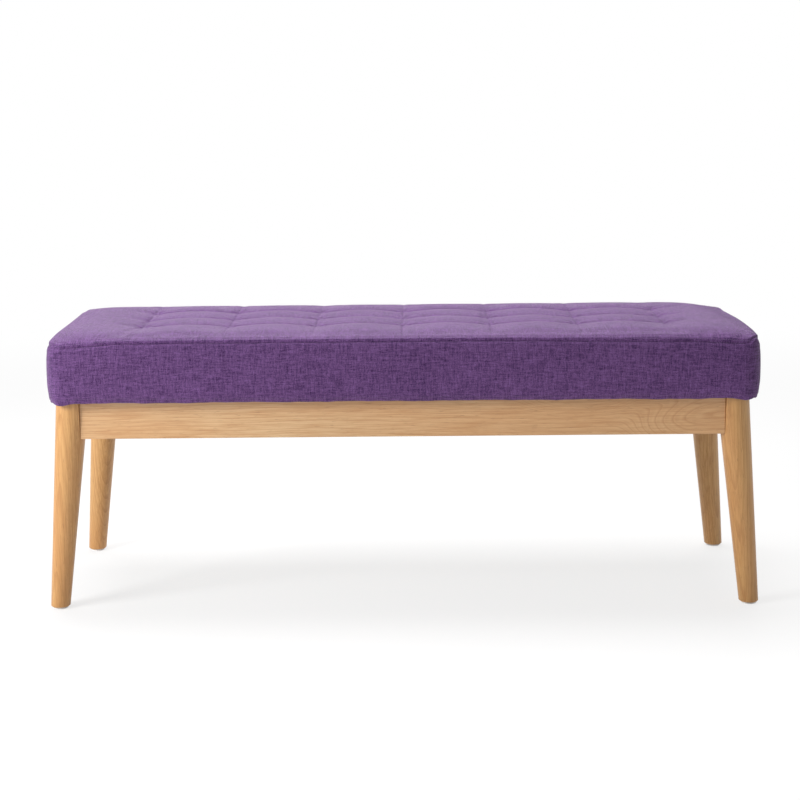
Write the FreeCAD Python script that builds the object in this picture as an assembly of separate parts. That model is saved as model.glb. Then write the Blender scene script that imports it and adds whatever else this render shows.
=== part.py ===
import FreeCAD, Part
import math
import os

V = FreeCAD.Vector
os.makedirs("parts", exist_ok=True)

# All sizes are in millimetres. X runs along the bench, Y to its back and Z up from the floor.

# Overall sizes
bench_length = 1162.0
bench_depth = 400.0
frame_height = 352.0

# Legs: round, tapered and splayed, with their axes measured in from the cushion's sides
foot_radius = 16.0
leg_top_radius = 26.5
foot_inset_x = 5.0
foot_inset_y = 32.0
leg_top_inset_x = 39.7
leg_top_inset_y = 42.3
foot_chamfer = 1.5

# Glides under the feet
glide_radius = 12.5
glide_thickness = 3.0
glide_edge_round = 0.8
nail_radius = 1.1
nail_head_radius = 3.5
nail_head_thickness = 0.8
nail_cover = 1.2
nail_length = 18.0

# Rails between the legs
rail_height = 62.0
rail_thickness = 20.0
rail_setback = 9.0
rail_edge_round = 1.5
shoulder_depth = 16.8
leg_corner_flat = 2.5

# Dowels between the rails and the legs
dowel_radius = 4.0
dowel_in_rail = 20.0
dowel_in_leg = 14.0
dowel_edge_distance = 15.5

# Corner blocks and their screws
block_height = 44.0
block_ear_length = 24.0
block_ear_thickness = 18.0
block_ear_start = 60.0
block_bevel = 45.0
screw_radius = 2.0
screw_head_radius = 4.0
screw_length = 30.0
screw_spacing = 24.0

# Hanger bolts through the corner blocks
hanger_radius = 4.0
hanger_in_leg = 28.0
hanger_spare = 3.0
hanger_hole_clearance = 0.5
hanger_washer_radius = 9.0
hanger_washer_thickness = 1.6
hanger_nut_width = 13.0
hanger_nut_thickness = 6.5
washer_clearance = 0.25

# Cross slats between the long rails
slat_count = 3
slat_spacing = 380.0
slat_width = 60.0
slat_thickness = 18.0
slat_dowel_radius = 3.0
slat_dowel_in_slat = 20.0
slat_dowel_in_rail = 12.0
slat_dowel_inset = 12.0

# Seat board, foam and cover
cover_thickness = 1.2
board_thickness = 15.0
foam_thickness = 75.0
batting_at_lines = 10.6
edge_padding = 15.0
board_corner_radius = 22.0
cushion_corner_radius = 28.0
side_pull_in = 3.0

# Sides of the cushion: heights above the frame, and then depths below the level of the sewn
# lines, each with how far the side is drawn in there
lower_side = {0.0: 7.0, 8.0: 2.8, 30.0: 0.5}
upper_side = {45.0: 0.0, 21.0: 1.0, 2.0: 4.0, -19.0: 13.0}

# Sewn lines of the top panel, and the pillows between them
lines_crosswise = 7
lines_lengthwise = 3
line_pitch_x = 145.0
line_pitch_y = 75.0
pillow_rise = 8.0
end_drop = 8.0
edge_drop = 3.0
end_pillow_rise = 7.0
profile_overhang = 10.0

# Seam between the top panel and the boxing, lower towards the two ends
seam_below_lines = 4.0
seam_end_drop = 8.0
seam_drop_length = 130.0

# Hem of the cover under the seat board, the dust cover over it, and their staples
hem_inside_rail = 20.0
hem_inside_shoulder = 27.5
dust_cover_thickness = 0.6
dust_inside_rail = 9.6
dust_inside_shoulder = 5.5
staple_inside_rail = 5.0
staple_crown = 10.0
staple_wire = 0.7
staple_length = 6.0
hem_staple_pitch = 50.0
dust_staple_pitch = 60.0
staple_clearance = 8.0

# Bolts that hold the seat to the slats
seat_bolt_radius = 3.0
seat_bolt_y = 60.0
seat_bolt_clearance = 0.3
seat_bolt_head_radius = 5.0
seat_bolt_head_height = 5.0
seat_bolt_socket_width = 5.0
seat_bolt_socket_depth = 3.0
seat_bolt_short_of_top = 1.5
seat_washer_radius = 8.0
seat_washer_thickness = 1.2
t_nut_flange_radius = 9.0
t_nut_flange_thickness = 1.2
t_nut_barrel_radius = 4.2
t_nut_barrel_length = 10.0

# Tufting twine at the crossings of the sewn lines
twine_radius = 0.8
twine_hole_radius = 1.6
twine_bite = 0.6
knot_radius = 2.4
knot_thickness = 0.9

# Values that follow from the sizes above
half_length = bench_length / 2
half_depth = bench_depth / 2
foot_point = V(half_length - foot_inset_x, half_depth - foot_inset_y, glide_thickness)
leg_top_point = V(half_length - leg_top_inset_x, half_depth - leg_top_inset_y, frame_height)
rail_bottom = frame_height - rail_height
rail_middle = frame_height - rail_height / 2


def leg_axis(height):
    """The point of the rear right leg's axis at a height."""
    share = (height - foot_point.z) / (leg_top_point.z - foot_point.z)
    return foot_point + (leg_top_point - foot_point) * share


def leg_radius(height):
    """The radius of a leg at a height."""
    share = (height - foot_point.z) / (leg_top_point.z - foot_point.z)
    return foot_radius + (leg_top_radius - foot_radius) * share


# Where the rails stand against the rear right leg
leg_middle = leg_axis(rail_middle)
long_rail_outside = leg_middle.y + leg_radius(rail_middle) - rail_setback
long_rail_inside = long_rail_outside - rail_thickness
end_rail_outside = leg_middle.x + leg_radius(rail_middle) - rail_setback
end_rail_inside = end_rail_outside - rail_thickness
shoulder_x = leg_middle.x - shoulder_depth
shoulder_y = leg_middle.y - shoulder_depth
dowel_heights = (rail_bottom + dowel_edge_distance, frame_height - dowel_edge_distance)

# The diagonal of the rear right corner, from where the rails' inner faces meet towards the middle
corner_point = V(end_rail_inside, long_rail_inside, rail_middle)
inwards = V(-1, -1, 0).normalize()
across = V(-1, 1, 0).normalize()
leg_flat_distance = (end_rail_inside - shoulder_x + long_rail_inside - shoulder_y) / math.sqrt(2)
leg_flat_distance -= leg_corner_flat

# Levels of the seat, from the dust cover up
dust_cover_bottom = frame_height - dust_cover_thickness
board_bottom = frame_height + cover_thickness
board_top = board_bottom + board_thickness
foam_top = board_top + foam_thickness
line_level = foam_top + batting_at_lines + cover_thickness

# Corners of the frame: the sign of X and Y at each
corners = {
    "front_left": (-1, -1),
    "front_right": (1, -1),
    "rear_left": (-1, 1),
    "rear_right": (1, 1),
}


def block(low, high):
    """A block between its lowest and its highest corner."""
    size = high - low
    return Part.makeBox(size.x, size.y, size.z, low)


def rod(start, end, radius):
    """A round rod from one point to another."""
    way = end - start
    return Part.makeCylinder(radius, way.Length, start, way)


def prism(points, way):
    """A flat outline of straight edges, drawn out along a vector."""
    outline = Part.makePolygon(points + points[:1])
    return Part.Face(outline).extrude(way)


def hexagon(centre, way, width, length):
    """A hexagonal prism of a width over its flats, along a direction."""
    side = V(0, 0, 1) if abs(way.z) < 0.5 else V(1, 0, 0)
    other = way.cross(side)
    reach = width / math.sqrt(3)
    angles = [math.radians(60 * turn) for turn in range(6)]
    points = [centre + side * (reach * math.cos(a)) + other * (reach * math.sin(a)) for a in angles]
    return prism(points, way * length)


def to_corner(shape, corner):
    """A shape made for the rear right corner, mirrored to a named corner."""
    side_x, side_y = corners[corner]
    if side_x < 0:
        shape = shape.mirror(V(0, 0, 0), V(1, 0, 0))
    if side_y < 0:
        shape = shape.mirror(V(0, 0, 0), V(0, 1, 0))
    return shape


def at_all_corners(shapes):
    """Shapes made for the rear right corner, at all four corners."""
    return [to_corner(shape, corner) for corner in corners for shape in shapes]


def save(node, solids):
    """One node's solids, written to its own file."""
    count = sum(len(solid.Solids) for solid in solids)
    shape = solids[0] if len(solids) == 1 else Part.makeCompound(solids)
    shape.exportStep(f"parts/{node}.step")
    print(f"{node}: {count} solids, {shape.Volume / 1000:.1f} cubic cm, valid {shape.isValid()}")


# Dowels of the rear right corner: two from the long rail and two from the end rail
def make_corner_dowels():
    dowels = []
    long_y = (long_rail_inside + long_rail_outside) / 2
    end_x = (end_rail_inside + end_rail_outside) / 2
    for height in dowel_heights:
        start = V(shoulder_x - dowel_in_rail, long_y, height)
        end = V(shoulder_x + dowel_in_leg, long_y, height)
        dowels.append(rod(start, end, dowel_radius))
        start = V(end_x, shoulder_y - dowel_in_rail, height)
        end = V(end_x, shoulder_y + dowel_in_leg, height)
        dowels.append(rod(start, end, dowel_radius))
    return dowels


# A countersunk wood screw, its head flush with the face where it starts
def make_screw(start, way):
    shank = rod(start, start + way * screw_length, screw_radius)
    head_depth = screw_head_radius - screw_radius
    head = Part.makeCone(screw_head_radius, screw_radius, head_depth, start, way)
    return shank.fuse(head).removeSplitter()


# Screws of the rear right corner block: two through each ear into its rail
def make_corner_screws():
    screws = []
    ear_middle = block_ear_start + block_ear_length / 2
    for side in (-1, 1):
        height = rail_middle + side * screw_spacing / 2
        on_long = V(end_rail_inside - ear_middle, long_rail_inside - block_ear_thickness, height)
        screws.append(make_screw(on_long, V(0, 1, 0)))
        on_end = V(end_rail_inside - block_ear_thickness, long_rail_inside - ear_middle, height)
        screws.append(make_screw(on_end, V(1, 0, 0)))
    return screws


# Hanger bolt of the rear right corner, with its washer and nut on the block's inner face
def make_hanger_set():
    inner_bevel = block_ear_start + block_ear_thickness
    block_face = inner_bevel / math.sqrt(2)
    washer_top = block_face + hanger_washer_thickness
    nut_top = washer_top + hanger_nut_thickness
    start = corner_point + inwards * (leg_flat_distance - hanger_in_leg)
    end = corner_point + inwards * (nut_top + hanger_spare)
    bolt = rod(start, end, hanger_radius)
    washer_start = corner_point + inwards * block_face
    nut_start = corner_point + inwards * washer_top
    washer = rod(washer_start, nut_start, hanger_washer_radius)
    washer = washer.cut(rod(start, end, hanger_radius + washer_clearance))
    nut = hexagon(nut_start, inwards, hanger_nut_width, hanger_nut_thickness).cut(bolt)
    return bolt, washer, nut


# Glide of the rear right foot, moulded round the head of its nail
def make_glide_and_nail():
    base = V(foot_point.x, foot_point.y, 0)
    glide = Part.makeCylinder(glide_radius, glide_thickness, base)
    bottom_edges = [edge for edge in glide.Edges if edge.BoundBox.ZMax < glide_thickness / 2]
    glide = glide.makeFillet(glide_edge_round, bottom_edges)
    head_bottom = base + V(0, 0, nail_cover)
    head = Part.makeCylinder(nail_head_radius, nail_head_thickness, head_bottom)
    shank = rod(head_bottom, head_bottom + V(0, 0, nail_length), nail_radius)
    nail = head.fuse(shank).removeSplitter()
    return glide.cut(nail), nail


# Leg of the rear right corner: a cone cut level at both ends, with a shoulder for each rail
def make_leg(dowels, bolt, nail):
    reach = 10.0
    low = glide_thickness - reach
    high = frame_height + reach
    start = leg_axis(low)
    axis = leg_axis(high) - start
    leg = Part.makeCone(leg_radius(low), leg_radius(high), axis.Length, start, axis)
    room = 4 * leg_top_radius
    slab_low = V(foot_point.x - 2 * room, foot_point.y - 2 * room, glide_thickness)
    slab_high = V(foot_point.x + room, foot_point.y + room, frame_height)
    leg = leg.common(block(slab_low, slab_high))
    foot_edges = [edge for edge in leg.Edges if edge.BoundBox.ZMax < glide_thickness + 1]
    leg = leg.makeChamfer(foot_chamfer, foot_edges)
    for_long_rail = block(V(slab_low.x, slab_low.y, rail_bottom), V(shoulder_x, slab_high.y, high))
    for_end_rail = block(V(slab_low.x, slab_low.y, rail_bottom), V(slab_high.x, shoulder_y, high))
    flat_centre = V(corner_point.x, corner_point.y, rail_bottom) + inwards * leg_flat_distance
    flat = [
        flat_centre - across * room,
        flat_centre + across * room,
        flat_centre + across * room + inwards * room,
        flat_centre - across * room + inwards * room,
    ]
    for_bolt = prism(flat, V(0, 0, rail_height + reach))
    return leg.cut([for_long_rail, for_end_rail, for_bolt, bolt, nail] + dowels)


# Corner block of the rear right corner: a diagonal with an ear along each rail
def make_corner_block(screws):
    ear_end = block_ear_start + block_ear_length
    outline = [
        (block_bevel, 0),
        (ear_end, 0),
        (ear_end, block_ear_thickness),
        (block_ear_start, block_ear_thickness),
        (block_ear_thickness, block_ear_start),
        (block_ear_thickness, ear_end),
        (0, ear_end),
        (0, block_bevel),
    ]
    bottom = rail_middle - block_height / 2
    points = [V(end_rail_inside - u, long_rail_inside - v, bottom) for u, v in outline]
    corner_block = prism(points, V(0, 0, block_height))
    hole_radius = hanger_radius + hanger_hole_clearance
    hole = rod(corner_point, corner_point + inwards * 2 * block_ear_start, hole_radius)
    return corner_block.cut([hole] + screws)


# Middle of each cross slat along the bench
def slat_places():
    first = -slat_spacing * (slat_count - 1) / 2
    return [first + slat_spacing * number for number in range(slat_count)]


# Dowels of the slats: two at each end, into the long rails
def make_slat_dowels():
    dowels = []
    height = dust_cover_bottom - slat_thickness / 2
    from_middle = slat_width / 2 - slat_dowel_inset
    for x in slat_places():
        for dowel_x in (x - from_middle, x + from_middle):
            for side in (-1, 1):
                start = V(dowel_x, side * (long_rail_inside - slat_dowel_in_slat), height)
                end = V(dowel_x, side * (long_rail_inside + slat_dowel_in_rail), height)
                dowels.append(rod(start, end, slat_dowel_radius))
    return dowels


# Where the seat bolts stand: two on each slat
def seat_bolt_places():
    return [(x, y) for x in slat_places() for y in (-seat_bolt_y, seat_bolt_y)]


# Seat bolt with a socket head, its washer under the slat, and its T-nut in the seat board
def make_seat_bolt_set(x, y):
    slat_bottom = dust_cover_bottom - slat_thickness
    head_top = slat_bottom - seat_washer_thickness
    head_bottom = head_top - seat_bolt_head_height
    tip = board_top - seat_bolt_short_of_top
    head = Part.makeCylinder(seat_bolt_head_radius, seat_bolt_head_height, V(x, y, head_bottom))
    shank = rod(V(x, y, head_bottom), V(x, y, tip), seat_bolt_radius)
    socket = hexagon(V(x, y, head_bottom), V(0, 0, 1), seat_bolt_socket_width, seat_bolt_socket_depth)
    bolt = head.fuse(shank).removeSplitter().cut(socket)
    washer = Part.makeCylinder(seat_washer_radius, seat_washer_thickness, V(x, y, head_top))
    washer = washer.cut(rod(V(x, y, head_bottom), V(x, y, tip), seat_bolt_radius + washer_clearance))
    flange = Part.makeCylinder(t_nut_flange_radius, t_nut_flange_thickness, V(x, y, board_top))
    barrel_bottom = V(x, y, board_top - t_nut_barrel_length)
    barrel = rod(barrel_bottom, V(x, y, board_top), t_nut_barrel_radius)
    thread = rod(barrel_bottom, V(x, y, board_top + t_nut_flange_thickness), seat_bolt_radius)
    t_nut = flange.fuse(barrel).removeSplitter().cut(thread)
    return bolt, washer, t_nut


# Clearance holes for the seat bolts, from below the slats up into the seat board
def make_seat_bolt_holes():
    radius = seat_bolt_radius + seat_bolt_clearance
    bottom = dust_cover_bottom - slat_thickness
    return [rod(V(x, y, bottom), V(x, y, board_top), radius) for x, y in seat_bolt_places()]


# Crossings of the sewn lines
def crossings():
    columns = [(number - (lines_crosswise - 1) / 2) * line_pitch_x for number in range(lines_crosswise)]
    rows = [(number - (lines_lengthwise - 1) / 2) * line_pitch_y for number in range(lines_lengthwise)]
    return [(x, y) for x in columns for y in rows]


# Twine from a crossing down through the foam and the seat board, with a knot under the board
def make_twine(x, y):
    top = line_level - cover_thickness + twine_bite
    twine = rod(V(x, y, board_bottom - knot_thickness), V(x, y, top), twine_radius)
    knot = Part.makeCylinder(knot_radius, knot_thickness, V(x, y, board_bottom - knot_thickness))
    return twine.fuse(knot).removeSplitter()


# Closed outline of the cushion at one height: four drawn-in sides and four round corners
def cushion_outline(height, inset):
    length = half_length - inset
    depth = half_depth - inset
    radius = cushion_corner_radius
    diagonal = radius * (1 - math.cos(math.radians(45)))
    pull = side_pull_in
    sides = [
        (V(length - radius, -depth, height), V(0, pull - depth, height), V(radius - length, -depth, height)),
        (V(-length, radius - depth, height), V(pull - length, 0, height), V(-length, depth - radius, height)),
        (V(radius - length, depth, height), V(0, depth - pull, height), V(length - radius, depth, height)),
        (V(length, depth - radius, height), V(length - pull, 0, height), V(length, radius - depth, height)),
    ]
    turns = [
        V(diagonal - length, diagonal - depth, height),
        V(diagonal - length, depth - diagonal, height),
        V(length - diagonal, depth - diagonal, height),
        V(length - diagonal, diagonal - depth, height),
    ]
    edges = []
    for number, (side, turn) in enumerate(zip(sides, turns)):
        following = sides[(number + 1) % len(sides)]
        edges.append(Part.Arc(*side).toShape())
        edges.append(Part.Arc(side[2], turn, following[0]).toShape())
    return Part.Wire(edges)


# Top line of one run of pillows: sewn lines at their places, with an arc from each to the next
def pillow_line(reach, count, pitch, outer_drop, lowered):
    level = line_level - lowered
    places = [(number - (count - 1) / 2) * pitch for number in range(count)]
    stops = [(-reach, level - outer_drop)] + [(place, level) for place in places] + [(reach, level - outer_drop)]
    runs = []
    for start, end in zip(stops, stops[1:]):
        rise = pillow_rise if start[1] == end[1] else end_pillow_rise
        crest = ((start[0] + end[0]) / 2, (start[1] + end[1]) / 2 + rise)
        runs.append([start, crest, end])
    return runs


# Solid under a line of pillows, drawn out level along the other direction
def under_pillows(runs, bottom, to_point, way):
    edges = [Part.Arc(*[to_point(*stop) for stop in run]).toShape() for run in runs]
    first = runs[0][0]
    last = runs[-1][-1]
    base = [to_point(*last), to_point(last[0], bottom), to_point(first[0], bottom), to_point(*first)]
    edges += [Part.LineSegment(start, end).toShape() for start, end in zip(base, base[1:])]
    return Part.Face(Part.Wire(edges)).extrude(way)


# Form of the whole cushion, taken in by a thickness on every side
def cushion_form(taken_in):
    levels = [(frame_height + height, drawn_in) for height, drawn_in in lower_side.items()]
    levels += [(line_level - depth, drawn_in) for depth, drawn_in in upper_side.items()]
    outlines = [cushion_outline(height, drawn_in + taken_in) for height, drawn_in in levels]
    sides = Part.makeLoft(outlines, True, False)
    bottom = frame_height + taken_in
    reach_x = half_length + profile_overhang
    reach_y = half_depth + profile_overhang
    along_x = pillow_line(reach_x, lines_crosswise, line_pitch_x, end_drop, taken_in)
    along_y = pillow_line(reach_y, lines_lengthwise, line_pitch_y, edge_drop, taken_in)
    lengthwise = under_pillows(along_x, bottom, lambda x, z: V(x, -reach_y, z), V(0, 2 * reach_y, 0))
    crosswise = under_pillows(along_y, bottom, lambda y, z: V(-reach_x, y, z), V(2 * reach_x, 0, 0))
    return sides.common(lengthwise).common(crosswise)


# Space below the seam, for parting the cover into its boxing and its top panel
def below_seam():
    reach = half_length + profile_overhang
    low = frame_height - profile_overhang
    level = line_level - seam_below_lines
    end_level = level - seam_end_drop
    bend = half_length - seam_drop_length
    middle = (bend + reach) / 2
    middle_level = level - seam_end_drop * 0.25
    right = Part.Arc(V(bend, 0, level), V(middle, 0, middle_level), V(reach, 0, end_level)).toShape()
    left = Part.Arc(V(-reach, 0, end_level), V(-middle, 0, middle_level), V(-bend, 0, level)).toShape()
    corners_below = [V(reach, 0, end_level), V(reach, 0, low), V(-reach, 0, low), V(-reach, 0, end_level)]
    edges = [left, Part.LineSegment(V(-bend, 0, level), V(bend, 0, level)).toShape(), right]
    edges += [Part.LineSegment(a, b).toShape() for a, b in zip(corners_below, corners_below[1:])]
    face = Part.Face(Part.Wire(edges))
    face.translate(V(0, -bench_depth, 0))
    return face.extrude(V(0, 2 * bench_depth, 0))


# A board-shaped slab of the seat with rounded upright corners
def seat_slab(bottom, top):
    low = V(edge_padding - half_length, edge_padding - half_depth, bottom)
    high = V(half_length - edge_padding, half_depth - edge_padding, top)
    slab = block(low, high)
    upright = [edge for edge in slab.Edges if edge.BoundBox.ZLength > (top - bottom) / 2]
    return slab.makeFillet(board_corner_radius, upright)


# A staple with its crown against a level from below, its legs upwards, along X or along Y
def make_staple(x, y, level, along_x):
    reach = staple_crown / 2
    outline = [
        (-reach, -staple_wire),
        (reach, -staple_wire),
        (reach, staple_length),
        (reach - staple_wire, staple_length),
        (reach - staple_wire, 0),
        (staple_wire - reach, 0),
        (staple_wire - reach, staple_length),
        (-reach, staple_length),
    ]
    half_wire = staple_wire / 2
    if along_x:
        points = [V(x + place, y - half_wire, level + height) for place, height in outline]
        return prism(points, V(0, staple_wire, 0))
    points = [V(x - half_wire, y + place, level + height) for place, height in outline]
    return prism(points, V(staple_wire, 0, 0))


# Staples round a rectangle, clear of its corners and of the slats below
def make_staples(reach_x, reach_y, level, pitch):
    staples = []
    taken = slat_width / 2 + staple_clearance
    spread_x = int((reach_x - 2 * staple_crown) / pitch)
    for number in range(-spread_x, spread_x + 1):
        x = number * pitch
        if all(abs(x - slat) > taken for slat in slat_places()):
            staples += [make_staple(x, side * reach_y, level, True) for side in (-1, 1)]
    spread_y = int((shoulder_y - 2 * staple_crown) / pitch)
    for number in range(-spread_y, spread_y + 1):
        staples += [make_staple(side * reach_x, number * pitch, level, False) for side in (-1, 1)]
    return staples


# Cover of the cushion: a shell with a hem turned under, parted at the seam
def make_cover(outer, inner, cuts):
    shell = outer.cut(inner)
    hem_x = shoulder_x - hem_inside_shoulder
    hem_y = long_rail_inside - hem_inside_rail
    opening = block(V(-hem_x, -hem_y, frame_height - 1), V(hem_x, hem_y, board_bottom))
    shell = shell.cut([opening] + cuts)
    below = below_seam()
    return shell.cut(below), shell.common(below)


# Dust cover under the seat, with holes for the seat bolts and its staples
def make_dust_cover(cuts):
    reach_x = shoulder_x - dust_inside_shoulder
    reach_y = long_rail_inside - dust_inside_rail
    sheet = block(V(-reach_x, -reach_y, dust_cover_bottom), V(reach_x, reach_y, frame_height))
    return sheet.cut(cuts)


# Long rail at the back, and the same rail mirrored to the front
def make_rear_rail(cuts):
    low = V(-shoulder_x, long_rail_inside, rail_bottom)
    high = V(shoulder_x, long_rail_outside, frame_height)
    rail = block(low, high)
    return rail.makeFillet(rail_edge_round, rail.Edges).cut(cuts)


# End rail at the right, and the same rail mirrored to the left
def make_right_rail(cuts):
    low = V(end_rail_inside, -shoulder_y, rail_bottom)
    high = V(end_rail_outside, shoulder_y, frame_height)
    rail = block(low, high)
    return rail.makeFillet(rail_edge_round, rail.Edges).cut(cuts)


def make_slat(x, cuts):
    """A cross slat, made at its place along the bench."""
    low = V(x - slat_width / 2, -long_rail_inside, dust_cover_bottom - slat_thickness)
    high = V(x + slat_width / 2, long_rail_inside, dust_cover_bottom)
    return block(low, high).cut(cuts)


# Fasteners and dowels first, because the wooden pieces are cut to them
corner_dowels = make_corner_dowels()
corner_screws = make_corner_screws()
hanger_bolt, hanger_washer, hanger_nut = make_hanger_set()
glide, glide_nail = make_glide_and_nail()
rail_dowels = at_all_corners(corner_dowels)
block_screws = at_all_corners(corner_screws)
slat_dowels = make_slat_dowels()
seat_bolt_sets = [make_seat_bolt_set(x, y) for x, y in seat_bolt_places()]
seat_bolts, seat_washers, t_nuts = (list(group) for group in zip(*seat_bolt_sets))
seat_bolt_holes = make_seat_bolt_holes()
twines = [make_twine(x, y) for x, y in crossings()]

# Staples of the hem and of the dust cover
hem_staples = make_staples(
    end_rail_inside - staple_inside_rail,
    long_rail_inside - staple_inside_rail,
    frame_height,
    hem_staple_pitch,
)
dust_staples = make_staples(
    shoulder_x - (hem_inside_shoulder + dust_inside_shoulder) / 2,
    long_rail_inside - (hem_inside_rail + dust_inside_rail) / 2,
    dust_cover_bottom,
    dust_staple_pitch,
)

# Legs, glides and corner blocks, one node for each corner
leg = make_leg(corner_dowels, hanger_bolt, glide_nail)
corner_block = make_corner_block(corner_screws)
for corner in corners:
    save(f"leg_{corner}", [to_corner(leg, corner)])
    save(f"foot_glide_{corner}", [to_corner(glide, corner)])
    save(f"corner_block_{corner}", [to_corner(corner_block, corner)])
save("glide_nails", at_all_corners([glide_nail]))
save("corner_block_screws", block_screws)
save("hanger_bolts", at_all_corners([hanger_bolt]))
save("hanger_bolt_washers", at_all_corners([hanger_washer]))
save("hanger_bolt_nuts", at_all_corners([hanger_nut]))

# Rails, slats and their dowels
rear_rail = make_rear_rail(rail_dowels + block_screws + slat_dowels)
right_rail = make_right_rail(rail_dowels + block_screws)
save("rear_rail", [rear_rail])
save("front_rail", [rear_rail.mirror(V(0, 0, 0), V(0, 1, 0))])
save("right_end_rail", [right_rail])
save("left_end_rail", [right_rail.mirror(V(0, 0, 0), V(1, 0, 0))])
save("rail_dowels", rail_dowels)
for number, slat_x in enumerate(slat_places(), start=1):
    save(f"cross_slat_{number}", [make_slat(slat_x, slat_dowels + seat_bolt_holes)])
save("slat_dowels", slat_dowels)

# Seat board and foam
seat_board = seat_slab(board_bottom, board_top)
twine_holes = [rod(V(x, y, board_bottom), V(x, y, board_top), twine_hole_radius) for x, y in crossings()]
board_cuts = hem_staples + dust_staples + seat_bolt_holes + t_nuts + twine_holes
save("seat_board", [seat_board.cut(board_cuts)])
foam = seat_slab(board_top, foam_top)
save("foam_block", [foam.cut(t_nuts + twines)])

# Batting round the foam, and the cover round the batting
outer_form = cushion_form(0.0)
inner_form = cushion_form(cover_thickness)
save("batting_wrap", [inner_form.cut([seat_board, foam] + twines)])
top_panel, boxing = make_cover(outer_form, inner_form, hem_staples + dust_staples + twines)
save("cover_top_panel", [top_panel])
save("cover_boxing", [boxing])

# Pieces under and through the seat
save("dust_cover", [make_dust_cover(dust_staples + seat_bolt_holes)])
save("hem_staples", hem_staples)
save("dust_cover_staples", dust_staples)
save("seat_bolts", seat_bolts)
save("seat_bolt_washers", seat_washers)
save("seat_t_nuts", t_nuts)
save("tufting_twine", twines)
cushion_box = outer_form.optimalBoundingBox(True, False)
print(f"cushion {cushion_box.XLength:.1f} long, {cushion_box.YLength:.1f} deep, crown at {cushion_box.ZMax:.1f}")
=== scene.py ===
# %% [markdown]
# # An upholstered bench
# A long bench with a deep tufted cushion of woven purple cloth, on a light wooden frame with
# four round, splayed legs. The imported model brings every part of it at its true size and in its
# true place. This lesson gives those parts their finish and makes the soft parts again, as cloth.
# Sizes are in metres: X runs along the bench, Y to its back, and Z up from the floor.

import math

import bmesh
import bpy
import numpy as np
from mathutils import Matrix, Vector


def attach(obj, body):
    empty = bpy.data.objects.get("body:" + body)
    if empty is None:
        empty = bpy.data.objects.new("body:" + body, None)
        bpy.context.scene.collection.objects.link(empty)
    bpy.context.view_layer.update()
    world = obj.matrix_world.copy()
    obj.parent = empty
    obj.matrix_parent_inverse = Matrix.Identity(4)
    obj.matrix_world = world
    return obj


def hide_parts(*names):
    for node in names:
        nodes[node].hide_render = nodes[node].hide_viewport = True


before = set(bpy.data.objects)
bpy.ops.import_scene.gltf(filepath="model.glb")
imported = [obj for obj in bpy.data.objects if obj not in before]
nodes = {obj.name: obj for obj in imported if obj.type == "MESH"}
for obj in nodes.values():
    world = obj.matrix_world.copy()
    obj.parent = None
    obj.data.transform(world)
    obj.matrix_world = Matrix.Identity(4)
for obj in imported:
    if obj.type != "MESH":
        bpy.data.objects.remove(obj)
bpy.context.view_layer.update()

# %% [markdown]
# ## The camera
# The bench was seen from a little above, almost straight from the front and nearly three metres
# away. The place and the three turns below were fitted to the feet, the legs' sides and the
# rail's lower edge, so each of them falls on its own place in the picture.

# %% Place the camera
camera = bpy.data.objects.new("camera", bpy.data.cameras.new("camera"))
bpy.context.scene.collection.objects.link(camera)
bpy.context.scene.camera = camera
focal_length_in_pixels = 1668.27
picture_width = 800
camera.data.sensor_width = 36.0
camera.data.lens = camera.data.sensor_width * focal_length_in_pixels / picture_width
camera.data.clip_end = 500.0
turned_left = 0.0092
turned_down = -0.2038
tilted = 0.0105
bpy.context.scene.view_settings.view_transform = "Standard"
looking = Matrix.Rotation(turned_left, 4, "Z") @ Matrix.Rotation(math.pi / 2 + turned_down, 4, "X")
placed = Matrix.Translation((0.021376, -2.836904, 0.901287))
camera.matrix_world = placed @ looking @ Matrix.Rotation(-tilted, 4, "Z")
print("lens:", round(camera.data.lens, 2), "mm")

# %% [markdown]
# ## Writing materials as sums
# A material is a graph of nodes. Drawing dozens of Math nodes by hand, or one line of code for
# each link, hides the idea. So a small class wraps one output socket, and Python's own operators
# add the Math nodes: `1 - mask` or `height * 0.5` then reads like the formula that it is.
# Every other kind of node comes from the one method `make`, with its settings first.


# %% A socket that can be reckoned with
class Socket:
    """An output socket in the node tree being written."""

    tree = None

    def __init__(self, link):
        self.link = link

    @classmethod
    def make(cls, kind, settings=None, inputs=None, output=0):
        """Adds a node with its settings, then fills its sockets with values or links."""
        node = cls.tree.nodes.new(kind)
        for name, value in (settings or {}).items():
            setattr(node, name, value)
        for name, value in (inputs or {}).items():
            if isinstance(value, Socket):
                cls.tree.links.new(value.link, node.inputs[name])
            else:
                node.inputs[name].default_value = value
        return cls(node.outputs[output])

    def others(self, output):
        """Another output of the same node."""
        return Socket(self.link.node.outputs[output])

    def sum(self, operation, *values):
        inputs = dict(enumerate(values))
        return Socket.make("ShaderNodeMath", {"operation": operation}, inputs)

    def __add__(self, other):
        return self.sum("ADD", self, other)

    def __radd__(self, other):
        return self.sum("ADD", other, self)

    def __sub__(self, other):
        return self.sum("SUBTRACT", self, other)

    def __rsub__(self, other):
        return self.sum("SUBTRACT", other, self)

    def __mul__(self, other):
        return self.sum("MULTIPLY", self, other)

    def __truediv__(self, other):
        return self.sum("DIVIDE", self, other)

    def __pow__(self, other):
        return self.sum("POWER", self, other)

    def floor(self):
        return self.sum("FLOOR", self)

    def fraction(self):
        return self.sum("FRACT", self)

    def sine(self):
        return self.sum("SINE", self)

    def modulo(self, other):
        return self.sum("FLOORED_MODULO", self, other)

    def between(self, low, high, start=0.0, end=1.0):
        """Rises smoothly from start to end while this value goes from low to high."""
        settings = {"interpolation_type": "SMOOTHSTEP"}
        inputs = {"Value": self, "From Min": low, "From Max": high, "To Min": start, "To Max": end}
        return Socket.make("ShaderNodeMapRange", settings, inputs)


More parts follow.
